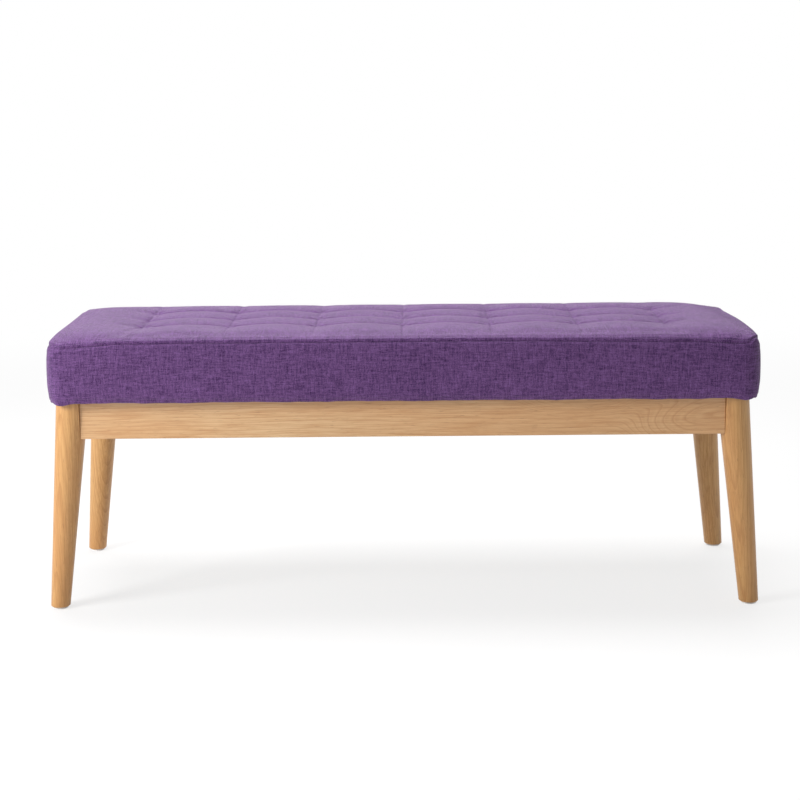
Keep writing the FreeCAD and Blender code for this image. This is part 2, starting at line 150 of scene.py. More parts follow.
# %% [markdown]
# A few helpers serve every material here: the parts of a vector, a vector from three values, a
# place on the object, a noise, a mix of two colours, and a bump. A noise is read at a vector whose
# three numbers are already divided by the size of the mark that they draw, so one noise can draw
# long thin fibres. `material` closes a graph with the Principled shader.

# %% Helpers for vectors, noise and colour
def parts(vector):
    first = Socket.make("ShaderNodeSeparateXYZ", inputs={0: vector})
    return first, first.others(1), first.others(2)


def vector(x, y, z=0.0):
    return Socket.make("ShaderNodeCombineXYZ", inputs={0: x, 1: y, 2: z})


def on_object():
    """The place on the object, in metres, as three values."""
    return parts(Socket.make("ShaderNodeTexCoord", output="Object"))


def noise(place, detail=2.0, roughness=0.5):
    """A noise from 0 to 1. More detail adds smaller marks, and roughness makes them stronger."""
    inputs = {"Vector": place, "Scale": 1.0, "Detail": detail, "Roughness": roughness}
    return Socket.make("ShaderNodeTexNoise", {"noise_dimensions": "3D"}, inputs)


def mixed(share, first, second):
    """A colour between two colours, given as sockets or as three numbers."""
    colours = [part if isinstance(part, Socket) else (*part, 1.0) for part in (first, second)]
    inputs = {0: share, 6: colours[0], 7: colours[1]}
    return Socket.make("ShaderNodeMix", {"data_type": "RGBA"}, inputs, output=2)


def bump(height, distance, strength=1.0):
    """A bent normal. The distance is the relief's real height in metres."""
    inputs = {"Height": height, "Distance": distance, "Strength": strength}
    return Socket.make("ShaderNodeBump", inputs=inputs)


def material(name, inputs, preview):
    """Ends a material in a Principled shader. Call start_material before its first node."""
    surface = Socket.make("ShaderNodeBsdfPrincipled", inputs=inputs)
    out = Socket.tree.nodes.new("ShaderNodeOutputMaterial")
    Socket.tree.links.new(surface.link, out.inputs["Surface"])
    made = bpy.data.materials[name]
    made.diffuse_color = (*preview, 1.0)
    print("material:", name, "with", len(Socket.tree.nodes), "nodes")
    return made


def start_material(name):
    """Makes an empty material, whose graph the next sockets go into."""
    made = bpy.data.materials.new(name)
    made.use_nodes = True
    made.node_tree.nodes.clear()
    Socket.tree = made.node_tree


# %% [markdown]
# ## Timber
# The frame is sawn from a pale, even hardwood under a satin lacquer. A picture wrapped round a
# leg would show its joins, so the wood is solid instead: growth rings stand as slightly wavy
# tubes round a pith line that misses each piece, as in a real log, and the surface shows
# whatever it cuts through. Where the pith line runs nearly along a piece, its face shows long
# streaks, and where it leans, they close into arches. Fine fibres and short dark pores lie
# along the grain.

# %% Define the timber
upright = (0.0, 0.0, 0.0)


def timber(name, along, pith, lean, tones, ring=0.006, wander=0.010, lacquer=0.25, swirls=()):
    """Wood with its grain along one axis. pith and lean are metres and radians off that axis.

    A swirl is a place in X and Z, its reach both ways, and the number of rings it adds.
    """
    start_material(name)
    turned = {"X": (0.0, math.pi / 2, 0.0), "Y": (math.pi / 2, 0.0, 0.0), "Z": upright}[along]
    here = Socket.make("ShaderNodeTexCoord", output="Object")
    straight = Socket.make("ShaderNodeMapping", inputs={"Vector": here, "Rotation": turned})
    line = {"Vector": straight, "Location": pith, "Rotation": lean}
    leaned = Socket.make("ShaderNodeMapping", inputs=line)
    across, deep, length = parts(leaned)

    slow = noise(vector(across * 7.0, deep * 7.0, length * 2.2), 1.0)
    quick = noise(vector(across * 40.0, deep * 40.0, length * 9.0), 2.0)
    radius = (across * across + deep * deep) ** 0.5
    rings = (radius + (slow - 0.5) * (wander * 4) + (quick - 0.5) * 0.004) / ring
    x, _, z = parts(here)
    for at_x, at_z, wide, high, extra in swirls:
        off_x = (x - at_x) / wide
        off_z = (z - at_z) / high
        rings = rings + (off_x * off_x + off_z * off_z).between(0.0, 3.0, extra, 0.0)
    ring_tone = (rings.fraction() * (2 * math.pi)).sine() * 0.5 + 0.5
    late = rings.fraction().between(0.55, 0.95) * rings.fraction().between(1.0, 0.95)

    streaks = noise(vector(across * 420.0, deep * 420.0, length * 9.0), 3.0, 0.6)
    fibres = noise(vector(across * 1500.0, deep * 1500.0, length * 40.0), 2.0)
    pores = noise(vector(across * 1100.0, deep * 1100.0, length * 60.0), 1.0).between(0.66, 0.74)
    broad = noise(vector(across * 14.0, deep * 14.0, length * 3.0), 2.0)

    pale, warm, dark = tones
    ground = mixed((broad * 1.9 - 0.45).between(0.0, 1.0), pale, warm)
    figured = mixed(late * 0.50 + ring_tone * 0.22, ground, dark)
    streaked = mixed((streaks - 0.40) * 2.2, figured, dark)
    fine = mixed((fibres - 0.5) * 0.5 + 0.12, streaked, pale)
    colour = mixed(pores * 0.45, fine, [part * 0.55 for part in dark])
    height = fibres * 0.6 + streaks * 0.4 - pores * 0.8
    inputs = {
        "Base Color": colour,
        "Roughness": 0.42 + streaks * 0.14,
        "Normal": bump(height, 0.00012),
        "Coat Weight": lacquer,
        "Coat Roughness": 0.28,
    }
    return material(name, inputs, warm)


# %% [markdown]
# Every piece of a frame comes from another place in the tree, so each gets its own pith line,
# and the legs have a slightly darker tone than the rails. Two swirls near the front rail's right
# end push its growth rings outwards, as a knot below the surface does, and close them into arches.

# %% Cut the frame's pieces from the log
oak_tones = ((0.71, 0.49, 0.27), (0.655, 0.37, 0.17), (0.42, 0.175, 0.050))
leg_tones = ((0.63, 0.375, 0.14), (0.57, 0.28, 0.09), (0.36, 0.145, 0.034))
swirls = ((0.285, 0.350, 0.060, 0.020, 4.5), (0.530, 0.282, 0.110, 0.045, 9.0))
frame_pieces = {
    "front_rail": ("X", (0.05, 0.34, 0.0), (0.03, 0.012, 0.0)),
    "rear_rail": ("X", (0.09, -0.22, 0.0), (0.02, 0.03, 0.0)),
    "left_end_rail": ("Y", (0.46, 0.10, 0.0), (0.05, 0.02, 0.0)),
    "right_end_rail": ("Y", (-0.62, 0.02, 0.0), (0.03, 0.04, 0.0)),
    "leg_front_left": ("Z", (0.60, 0.26, 0.0), (0.02, 0.03, 0.0)),
    "leg_front_right": ("Z", (-0.52, 0.24, 0.0), (0.05, 0.06, 0.0)),
    "leg_rear_left": ("Z", (0.50, -0.10, 0.0), (0.04, 0.02, 0.0)),
    "leg_rear_right": ("Z", (-0.60, -0.12, 0.0), (0.03, 0.05, 0.0)),
}


def finish_node(name, made):
    """Gives a CAD node its material, in every slot that it has."""
    node = nodes[name]
    if not node.material_slots:
        node.data.materials.append(made)
    for slot in node.material_slots:
        slot.material = made


for name, (along, pith, lean) in frame_pieces.items():
    tones = leg_tones if along == "Z" else oak_tones
    extra = swirls if name == "front_rail" else ()
    finish_node(name, timber(name + "_wood", along, pith, lean, tones, swirls=extra))
print("frame pieces with their own wood:", len(frame_pieces))

# %% [markdown]
# ## Wood that nobody sees from the front
# The slats and the corner blocks are cut from plainer wood and left bare, and the dowels are
# turned from a paler one. They use the same solid wood with no lacquer. The seat board is
# plywood: its face shows wide, wild figure because the sheet is peeled off a log, and its edge
# shows the layers, which are stripes by height.

# %% Finish the inner wood
bare_tones = ((0.62, 0.46, 0.28), (0.55, 0.37, 0.20), (0.42, 0.26, 0.13))
bare = (bare_tones, 0.005, 0.012, 0.0)
slat_wood = timber("slat_wood", "Y", (0.02, 0.38, 0.0), (0.03, 0.02, 0.0), *bare)
block_wood = timber("block_wood", "Z", (0.2, 0.3, 0.0), (0.1, 0.05, 0.0), *bare)
dowel_tones = ((0.70, 0.54, 0.34), (0.64, 0.46, 0.27), (0.52, 0.35, 0.19))
turned_bare = (upright, dowel_tones, 0.004, 0.01, 0.0)
rail_dowel_wood = timber("rail_dowel_wood", "X", (0.0, 0.2, 0.0), *turned_bare)
slat_dowel_wood = timber("slat_dowel_wood", "Y", (0.0, 0.2, 0.0), *turned_bare)
for name in nodes:
    if name.startswith("cross_slat"):
        finish_node(name, slat_wood)
    if name.startswith("corner_block_") and name != "corner_block_screws":
        finish_node(name, block_wood)
finish_node("rail_dowels", rail_dowel_wood)
finish_node("slat_dowels", slat_dowel_wood)

# %% Finish the plywood seat board
board_underside = 0.3532
ply_thickness = 0.0015
start_material("plywood")
x, y, z = on_object()
swirl = noise(vector(x * 4.0, y * 16.0, z * 30.0), 3.0)
figure = ((swirl * 60.0).sine() * 0.5 + 0.5) * 0.6
fibre = noise(vector(x * 30.0, y * 900.0, z * 900.0), 2.0)
layer = ((z - board_underside) / ply_thickness).floor().modulo(2.0)
_, _, facing = parts(Socket.make("ShaderNodeNewGeometry", output="Normal"))
edge = (facing * facing).between(0.5, 0.2)
sheet = mixed(figure + fibre * 0.3, (0.62, 0.45, 0.27), (0.46, 0.29, 0.15))
stripes = mixed(layer * 0.7 + fibre * 0.2, (0.60, 0.44, 0.27), (0.33, 0.19, 0.10))
inputs = {
    "Base Color": mixed(edge, sheet, stripes),
    "Roughness": 0.7 + fibre * 0.15,
    "Normal": bump(fibre, 0.0002),
}
finish_node("seat_board", material("plywood", inputs, (0.55, 0.4, 0.24)))

# %% [markdown]
# ## Hardware, glides and the dark lining
# The screws, bolts, washers and staples are zinc-plated steel: a grey metal whose thin plating
# breaks the light into small cloudy spangles. The glides are moulded in milky nylon, with a
# faint orange-peel skin. The dust cover under the seat is a felted black cloth with no weave:
# short fibres lie in every direction, over a grid of small welded points.

# %% Finish the steel
start_material("zinc_steel")
x, y, z = on_object()
spangle = noise(vector(x * 700.0, y * 700.0, z * 700.0), 2.0)
scuffs = noise(vector(x * 2600.0, y * 2600.0, z * 900.0), 2.0)
inputs = {
    "Base Color": mixed(spangle.between(0.35, 0.65), (0.50, 0.51, 0.53), (0.68, 0.69, 0.70)),
    "Metallic": 1.0,
    "Roughness": 0.28 + spangle * 0.2,
    "Normal": bump(scuffs, 0.00003),
}
steel = material("zinc_steel", inputs, (0.6, 0.6, 0.62))

# %% Finish the nylon and the twine
start_material("glide_nylon")
x, y, z = on_object()
cloud = noise(vector(x * 120.0, y * 120.0, z * 120.0), 3.0)
peel = noise(vector(x * 900.0, y * 900.0, z * 900.0), 1.0)
inputs = {
    "Base Color": mixed(cloud, (0.78, 0.77, 0.74), (0.88, 0.87, 0.84)),
    "Roughness": 0.38 + peel * 0.15,
    "Normal": bump(peel, 0.00006),
}
nylon = material("glide_nylon", inputs, (0.85, 0.84, 0.82))

start_material("twine")
x, y, z = on_object()
strands = ((x * 2600.0 + y * 2600.0 + z * 1900.0).sine() * 0.5 + 0.5) ** 0.7
fuzz = noise(vector(x * 3000.0, y * 3000.0, z * 3000.0), 2.0)
inputs = {
    "Base Color": mixed(strands * 0.8 + fuzz * 0.3, (0.34, 0.30, 0.25), (0.72, 0.68, 0.60)),
    "Roughness": 0.8 + fuzz * 0.1,
    "Normal": bump(strands, 0.0002),
}
twine = material("twine", inputs, (0.6, 0.57, 0.5))

# %% Finish the lining, the foam and the batting
start_material("black_lining")
x, y, z = on_object()
felt = noise(vector(x * 500.0, y * 500.0, z * 500.0), 4.0, 0.7)
points = ((x * 1570.0).sine() * (y * 1570.0).sine()).between(0.55, 0.8)
inputs = {
    "Base Color": mixed(felt, (0.006, 0.006, 0.007), (0.045, 0.045, 0.048)),
    "Roughness": 0.85 - points * 0.25,
    "Normal": bump(felt - points * 0.5, 0.00025),
}
lining = material("black_lining", inputs, (0.02, 0.02, 0.02))

start_material("foam")
x, y, z = on_object()
cells = Socket.make("ShaderNodeTexVoronoi", inputs={"Vector": vector(x, y, z), "Scale": 700.0})
tint = noise(vector(x * 20.0, y * 20.0, z * 20.0), 3.0)
inputs = {
    "Base Color": mixed(tint * 0.6 + cells * 0.5, (0.72, 0.66, 0.48), (0.86, 0.82, 0.66)),
    "Roughness": 0.85 + tint * 0.1,
    "Normal": bump(cells, 0.0006),
}
foam = material("foam", inputs, (0.8, 0.75, 0.58))

start_material("batting")
x, y, z = on_object()
tufts = noise(vector(x * 60.0, y * 60.0, z * 60.0), 4.0, 0.7)
hairs = noise(vector(x * 900.0, y * 300.0, z * 300.0), 3.0, 0.7)
inputs = {
    "Base Color": mixed(tufts, (0.74, 0.74, 0.72), (0.88, 0.88, 0.87)),
    "Roughness": 0.9 - hairs * 0.1,
    "Normal": bump(tufts + hairs * 0.3, 0.001),
}
batting = material("batting", inputs, (0.85, 0.85, 0.84))

# %% Hand the small parts their finish
hardware = [name for name in nodes if name.startswith(("hanger_", "seat_bolt", "seat_t_nuts"))]
hardware += ["glide_nails", "corner_block_screws", "hem_staples", "dust_cover_staples"]
glides = [name for name in nodes if name.startswith("foot_glide")]
finishes = [
    (hardware, steel),
    (glides, nylon),
    (["tufting_twine"], twine),
    (["dust_cover"], lining),
    (["foam_block"], foam),
    (["batting_wrap"], batting),
]
for names, made in finishes:
    for name in names:
        finish_node(name, made)
    print(made.name, "on", len(names), "nodes")

# %% [markdown]
# ## The cushion's cloth
# The cover is a plain weave of linen-like yarn. Each yarn swells and thins along its length
# (slubs) and took the dye unevenly, so short light and dark dashes run both ways over a fine
# grain. The weave follows the cloth and not the room, so it reads a UV map that is measured in
# metres. A checkerboard of crossings says which yarn lies on top, and each yarn has its own
# tone that changes slowly along it. Sheen adds the pale bloom of the fine hairs.


# %% Define the woven cloth
yarn = 0.00105
yarn_relief = 0.00022


def woven(name, dark, light):
    """A plain weave. `handled` is a slow, faint change of tone where hands touched the cloth."""
    start_material(name)
    flat = Socket.make("ShaderNodeUVMap", {"uv_map": "weave"})
    along, up, _ = parts(flat)
    warp = along / yarn
    weft = up / yarn
    on_top = (warp.floor() + weft.floor()).modulo(2.0)
    warp_tone = noise(vector(warp.floor() * 3.7, up * 60.0, 0.0), 2.0, 0.6)
    weft_tone = noise(vector(weft.floor() * 3.7, along * 60.0, 7.0), 2.0, 0.6)
    crossing = Socket.make(
        "ShaderNodeTexWhiteNoise",
        {"noise_dimensions": "2D"},
        {"Vector": vector(warp.floor(), weft.floor())},
    )
    wide_warp = noise(vector(along * 330.0, up * 24.0, 3.0), 2.0, 0.6)
    wide_weft = noise(vector(along * 24.0, up * 330.0, 5.0), 2.0, 0.6)
    yarn_tone = warp_tone * on_top + weft_tone * (1 - on_top)
    tone = yarn_tone * 2.8 + crossing * 0.5 + wide_warp * 0.6 + wide_weft * 0.6 - 1.75
    handled = (noise(vector(along * 9.0, up * 9.0, 1.0), 2.0) - 0.5) * 0.25
    colour = mixed(tone + handled, dark, light)
    warp_round = (warp.fraction() * math.pi).sine()
    weft_round = (weft.fraction() * math.pi).sine()
    height = (warp_round * on_top + weft_round * (1 - on_top)) * (0.7 + yarn_tone * 0.6)
    inputs = {
        "Base Color": colour,
        "Roughness": 0.78 + crossing * 0.12,
        "Normal": bump(height, yarn_relief, 0.8),
        "Sheen Weight": 0.30,
        "Sheen Roughness": 0.35,
        "Sheen Tint": (1.0, 0.96, 1.0, 1.0),
        "Specular IOR Level": 0.25,
    }
    return material(name, inputs, light)


cloth = woven("cover_cloth", (0.034, 0.008, 0.060), (0.200, 0.092, 0.270))

# %% [markdown]
# ## The cushion's shape
# The cover is two pieces of cloth: a top panel, and a boxing that goes round the sides and turns
# under the seat. Both are laid out as one net of four-sided cells. The net's lines crowd
# together along the sewn lines, so that the cloth can turn sharply there. A cushion could also
# be sculpted, or remeshed from the CAD solid, but a net keeps every sewn line on a row of
# vertices and gives the weave a straight UV map.

# %% Lay out the top panel's net
half_length = 0.581
half_depth = 0.200
frame_height = 0.352
corner_radius = 0.028
moved_right = 0.0022
side_pull = 0.003
seam_inset = 0.0025
seam_level = 0.452
tuft_level = 0.4568
lines_x = np.arange(-3, 4) * 0.145
lines_y = np.arange(-1, 2) * 0.075


def crowded(start, stop, cells, crowding=0.55):
    """Places from start towards stop, closer together near both ends."""
    share = np.linspace(0, 1, cells + 1)[:-1]
    share = share - crowding * np.sin(2 * np.pi * share) / (2 * np.pi)
    return start + (stop - start) * share


def net_lines(lines, reach, cells):
    """All the net's lines one way, with the same number of cells between any two sewn lines."""
    stops = [-reach, *lines, reach]
    runs = [crowded(start, stop, cells) for start, stop in zip(stops, stops[1:])]
    return np.concatenate(runs + [[reach]])


reach_x = half_length - seam_inset
reach_y = half_depth - seam_inset
net_x = net_lines(lines_x, reach_x, 22)
net_y = net_lines(lines_y, reach_y, 16)
flat_x, flat_y = np.meshgrid(net_x, net_y, indexing="ij")
print("top panel net:", flat_x.shape)

# %% [markdown]
# A square corner of the net is bent onto a round corner of the cushion, and the long sides are
# pulled in a little between the corners. Then heights are given: each pillow rises between its
# sewn lines, the lines themselves rise a little between the points where the twine holds them
# down, and the outer rows are crowned down to the seam. Towards both ends the cushion slumps.


# %% Bend the net into the cushion's outline and give it heights
def rounded(x, y):
    """Bends the corners of the flat net round and pulls the sides in."""
    a = np.clip((np.abs(x) - (reach_x - corner_radius)) / corner_radius, 0, 1)
    b = np.clip((np.abs(y) - (reach_y - corner_radius)) / corner_radius, 0, 1)
    both = (a > 0) & (b > 0)
    round_x = reach_x - corner_radius + corner_radius * a * np.sqrt(1 - b * b / 2)
    round_y = reach_y - corner_radius + corner_radius * b * np.sqrt(1 - a * a / 2)
    new_x = np.where(both, round_x, np.abs(x))
    new_y = np.where(both, round_y, np.abs(y))
    pull_x = side_pull * (1 - (new_y / reach_y) ** 2) * (new_x / reach_x) ** 6
    pull_y = side_pull * (1 - (new_x / reach_x) ** 2) * (new_y / reach_y) ** 6
    return np.sign(x) * (new_x - pull_x), np.sign(y) * (new_y - pull_y)


def from_edge(x, y):
    """Distance of a point of the flat net from the seam, inwards."""
    a = np.abs(x) - (reach_x - corner_radius)
    b = np.abs(y) - (reach_y - corner_radius)
    outside = np.hypot(np.maximum(a, 0), np.maximum(b, 0))
    return corner_radius - np.where((a > 0) & (b > 0), outside, np.maximum(a, b))


def across_pillow(place, lines, power):
    """0 on a sewn line and 1 in the middle of a pillow. Beyond the last line it stays at 1."""
    pitch = lines[1] - lines[0]
    share = (place - lines[0]) / pitch
    outside = np.maximum(lines[0] - place, place - lines[-1]) / pitch
    inner = np.sin(np.pi * (share - np.floor(share))) ** power
    outer = np.sin(np.pi * np.clip(outside, 0, 0.5)) ** power
    return np.where(outside > 0, outer, inner)


def fading(place, lines, start, length):
    """1 among the sewn lines and up to start beyond them, then falling to 0 over a length."""
    outside = np.clip((np.abs(place) - lines[-1] - start) / length, 0, 1)
    return 1 - outside * outside * (3 - 2 * outside)


def crown(inwards, width):
    """Rises from 0 at the seam to 1 over a width, round like a quarter of an ellipse."""
    return np.sqrt(1 - (1 - np.clip(inwards / width, 0, 1)) ** 2)


def near_corner(x, y, at_x, at_y, wide, deep):
    """1 at a place and 0 well away from it."""
    return np.exp(-(((x - at_x) / wide) ** 2) - ((y - at_y) / deep) ** 2)


def seam_slump(x, y):
    """How much lower the seam is towards each end, most of all in front."""
    in_front = 1 / (1 + np.exp((y + 0.10) / 0.03))
    left = 0.0065 * near_corner(x, y, -reach_x, -reach_y, 0.075, 0.06)
    right = 0.0040 * np.clip((x - 0.15) / 0.25, 0, 1) ** 1.2 * in_front
    right += 0.0035 * near_corner(x, y, reach_x, -reach_y, 0.06, 0.06)
    ends = 0.0025 * np.clip((np.abs(x) - 0.45) / 0.12, 0, 1)
    return left + right + ends + 0.0060 * near_corner(x, y, reach_x, 0.16, 0.06, 0.13)


def top_slump(x, y):
    """How much lower the pillows are at both ends, most of all at the rear right corner."""
    left = 0.0035 * near_corner(x, y, -reach_x, -reach_y, 0.05, 0.045)
    ends = 0.0030 * np.clip((np.abs(x) - 0.53) / 0.03, 0, 1)
    return left + ends + 0.0130 * near_corner(x, y, reach_x, 0.16, 0.055, 0.14)


def top_height(x, y):
    a = 1 - (1 - across_pillow(x, lines_x, 1.4)) * fading(y, lines_y, 0.030, 0.092)
    b = 1 - (1 - across_pillow(y, lines_y, 0.9)) * fading(x, lines_x, 0.0, 0.070)
    level = tuft_level + 0.0046 * a + 0.0024 * b + 0.0006 * a * b - top_slump(x, y)
    inwards = reach_x - np.abs(x)
    end = 0.9 * crown(inwards, 0.012) + 0.1 * crown(inwards, 0.060)
    front = 0.35 * crown(y + reach_y, 0.016) + 0.65 * crown(y + reach_y, 0.085)
    rear = np.clip((reach_y - y) / 0.100, 0, 1) ** 0.85
    low = seam_level - seam_slump(x, y)
    return low + (level - low) * end * front * rear


top_x, top_y = rounded(flat_x, flat_y)
top = np.stack([top_x, top_y, top_height(flat_x, flat_y)], axis=-1)
print("top panel heights:", top[..., 2].min().round(4), "to", top[..., 2].max().round(4))

# %% [markdown]
# The boxing starts at the seam with the very same vertices as the top panel's edge. Rings of
# cells go down the side, bulging a little and drawing in at the bottom, and then turn under the
# seat to the edge of the dust cover. The distance outwards at each height comes from the side
# of the real cushion. An edge could also be extruded down by hand, but a table of heights and
# insets says the same in two lines, and a change to it changes the whole round at once.

# %% Add the boxing's rings
count_x, count_y = flat_x.shape
ring_index = [(i, 0) for i in range(count_x - 1)]
ring_index += [(count_x - 1, j) for j in range(count_y - 1)]
ring_index += [(i, count_y - 1) for i in range(count_x - 1, 0, -1)]
ring_index += [(0, j) for j in range(count_y - 1, 0, -1)]
seam = np.array([top[i, j] for i, j in ring_index])
tangent = np.roll(seam, -1, axis=0) - np.roll(seam, 1, axis=0)
outward = np.stack([tangent[:, 1], -tangent[:, 0], np.zeros(len(seam))], axis=1)
outward /= np.linalg.norm(outward, axis=1, keepdims=True)
for _ in range(3):
    outward = (np.roll(outward, 1, axis=0) + 2 * outward + np.roll(outward, -1, axis=0)) / 4
    outward /= np.linalg.norm(outward, axis=1, keepdims=True)

side_heights = [0.0965, 0.092, 0.085, 0.077, 0.068, 0.058, 0.048, 0.038, 0.029, 0.021, 0.014]
side_heights += [0.009, 0.005, 0.002, 0.0003]
inset_heights = [0.0, 0.003, 0.008, 0.030, 0.058, 0.082, 0.099]
inset_values = [0.0075, 0.0045, 0.0028, 0.0005, 0.0, 0.0002, 0.0025]
rings = []
for height in side_heights:
    inset = np.interp(height, inset_heights, inset_values)
    ring = seam + outward * (seam_inset - inset)
    share = height / (seam_level - frame_height)
    ring[:, 2] = frame_height + (seam[:, 2] - frame_height) * share
    rings.append(ring)
opening_x = 0.500
opening_y = 0.135
opening = seam * [opening_x / reach_x, opening_y / reach_y, 1.0]
for share in (0.1, 0.3, 0.6, 1.0):
    ring = rings[len(side_heights) - 1] * (1 - share) + opening * share
    ring[:, 2] = frame_height + 0.0002
    rings.append(ring)
print("boxing rings:", len(rings), "of", len(seam), "vertices")

# %% [markdown]
# Now the net becomes a mesh. Each face corner gets its place on the flat cloth in metres: on the
# top panel that is X and Y, and on the boxing it is the distance round the cushion and the
# height. Each vertex also keeps its distance from the seam, minus on the top panel.

# %% Make one mesh of both pieces of cloth
top_number = np.arange(count_x * count_y).reshape(count_x, count_y)
points = [top.reshape(-1, 3)] + rings
seam_numbers = np.array([top_number[i, j] for i, j in ring_index])
ring_numbers = [seam_numbers]
for k in range(len(rings)):
    ring_numbers.append(count_x * count_y + len(seam) * k + np.arange(len(seam)))
steps = np.linalg.norm(np.roll(seam, -1, axis=0) - seam, axis=1)
round_length = np.concatenate([[0], np.cumsum(steps)])
ring_points = [seam] + rings
down = [0.0]
for before, after in zip(ring_points, ring_points[1:]):
    down.append(down[-1] + np.linalg.norm(after - before, axis=1).mean())

faces = []
face_uv = []
face_cloth = []
for i in range(count_x - 1):
    for j in range(count_y - 1):
        cell = [(i, j), (i + 1, j), (i + 1, j + 1), (i, j + 1)]
        faces.append([top_number[a, b] for a, b in cell])
        face_uv.append([(flat_x[a, b], flat_y[a, b]) for a, b in cell])
        face_cloth.append(0)
for k in range(len(rings)):
    for i in range(len(seam)):
        after = (i + 1) % len(seam)
        upper, lower = ring_numbers[k], ring_numbers[k + 1]
        faces.append([upper[i], lower[i], lower[after], upper[after]])
        ends = [(round_length[i], down[k]), (round_length[i], down[k + 1])]
        ends += [(round_length[i + 1], down[k + 1]), (round_length[i + 1], down[k])]
        face_uv.append([(a, -b) for a, b in ends])
        face_cloth.append(1)
net = bpy.data.meshes.new("cushion_net")
faces = [[int(number) for number in face] for face in faces]
net.from_pydata(np.concatenate(points).tolist(), [], faces)
weave = net.uv_layers.new(name="weave")
weave.data.foreach_set("uv", np.array(face_uv, dtype=np.float32).ravel())
net.polygons.foreach_set("material_index", face_cloth)
distance = [-from_edge(flat_x, flat_y).ravel()]
distance += [np.full(len(seam), value) for value in down[1:]]
net.attributes.new("from_seam", "FLOAT", "POINT").data.foreach_set("value", np.concatenate(distance))
net.materials.append(cloth)
net.materials.append(cloth)
cushion = bpy.data.objects.new("cushion", net)
bpy.context.scene.collection.objects.link(cushion)
print("cushion net:", len(net.vertices), "vertices,", len(net.polygons), "faces")

# %% [markdown]
# ## Filling it
# Foam and batting press on the cover from inside, and cloth answers with soft, slightly uneven
# pillows and small strained folds. That is hard to draw and easy to simulate: Blender's Cloth
# gets a pressure and no gravity, the 21 tufting points and the hem are held, and the sewn lines
# are held loosely. After 20 frames the shape is kept, with a limit on how far a vertex moved:
# about a millimetre at the seam, and two and a half at most.

# %% Fill the cushion by simulation
start = np.concatenate(points) + [moved_right, 0, 0]
net.vertices.foreach_set("co", start.ravel())
line_places = lines_x + moved_right
near_line_x = np.abs(start[:, [0]] - line_places[None]).min(axis=1)
near_line_y = np.abs(start[:, [1]] - lines_y[None]).min(axis=1)
from_seam = np.concatenate(distance)
inner_panel = from_seam < -0.02
in_rows = np.abs(start[:, 0] - moved_right) < lines_x[-1] + 0.0005
held = np.zeros(len(start))
loosely = 0.25
a_little_firmer = 0.35
fully = 1.0
held[inner_panel & (near_line_y < 1e-4) & in_rows] = a_little_firmer
held[inner_panel & (near_line_x < 1e-4)] = loosely
tuft = inner_panel & (near_line_x < 0.004) & (near_line_y < 0.004)
held[tuft] = fully
held[from_seam > down[len(side_heights)] - 1e-6] = fully
group = cushion.vertex_groups.new(name="held")
for weight in (loosely, a_little_firmer, fully):
    group.add(np.flatnonzero(held == weight).tolist(), weight, "REPLACE")


def simulate(piece, frames=20):
    """Blows the cloth up and gives back where its vertices end."""
    made = piece.modifiers.new("filling", "CLOTH")
    made.settings.quality = 5
    made.settings.mass = 0.3
    made.settings.tension_stiffness = 40
    made.settings.compression_stiffness = 40
    made.settings.shear_stiffness = 10
    made.settings.bending_stiffness = 0.5
    made.settings.use_pressure = True
    made.settings.uniform_pressure_force = 4.0
    made.settings.shrink_min = -0.006
    made.settings.vertex_group_mass = "held"
    made.settings.effector_weights.gravity = 0.0
    made.collision_settings.use_collision = False
    made.collision_settings.use_self_collision = False
    made.point_cache.frame_start = 1
    made.point_cache.frame_end = frames
    for number in range(1, frames + 1):
        bpy.context.scene.frame_set(number)
    filled = piece.evaluated_get(bpy.context.evaluated_depsgraph_get()).data
    ends = np.zeros(len(filled.vertices) * 3)
    filled.vertices.foreach_get("co", ends)
    piece.modifiers.remove(made)
    bpy.context.scene.frame_set(1)
    return ends.reshape(-1, 3)


moved = np.zeros_like(start)
moved = simulate(cushion) - start
far = np.linalg.norm(moved, axis=1, keepdims=True)
print("simulated move in mm: mean", far.mean().round(5) * 1000, "most", far.max().round(5) * 1000)
off_seam = np.clip(np.abs(from_seam) / 0.03, 0, 1)
limit = (0.0008 + np.where(from_seam < 0, 0.0014, 0.0017) * off_seam)[:, None]
moved *= limit * np.tanh(far / limit) / np.maximum(far, 1e-9)
net.vertices.foreach_set("co", (start + moved).ravel())
net.update()

# %% [markdown]
# Under the cover lies a soft wrap of batting over the foam. It has the cushion's own form, four
# millimetres further in, so it is the same filled net moved inwards along its normals.
# It ends where the cover turns under the seat.

# %% Wrap the batting
wrap_rings = len(side_heights) - 2
wrap_count = count_x * count_y + len(seam) * wrap_rings
wrap_faces = (count_x - 1) * (count_y - 1) + len(seam) * wrap_rings
normals = np.zeros(len(start) * 3, dtype=np.float32)
net.vertices.foreach_get("normal", normals)
further_in = 0.004
inner = start + moved - normals.reshape(-1, 3) * further_in
wrap = bpy.data.meshes.new("cushion_batting")
wrap.from_pydata(inner[:wrap_count].tolist(), [], faces[:wrap_faces])
batting_piece = bpy.data.objects.new("cushion_batting", wrap)
bpy.context.scene.collection.objects.link(batting_piece)
wrap.materials.append(batting)
wrap.shade_smooth()
print("batting:", len(wrap.polygons) * 2, "triangles")

# %% [markdown]
# ## Seams, channels and folds
# The filled net is divided once more, and then the small things are pressed into it by plain
# sums on the vertices: a groove along each sewn line, deepest near the tufts, the seam with its
# two soft ridges, small gathers round each tuft, and a slightly wavy lower edge that sags at the
# corners, where the cloth is folded thicker.

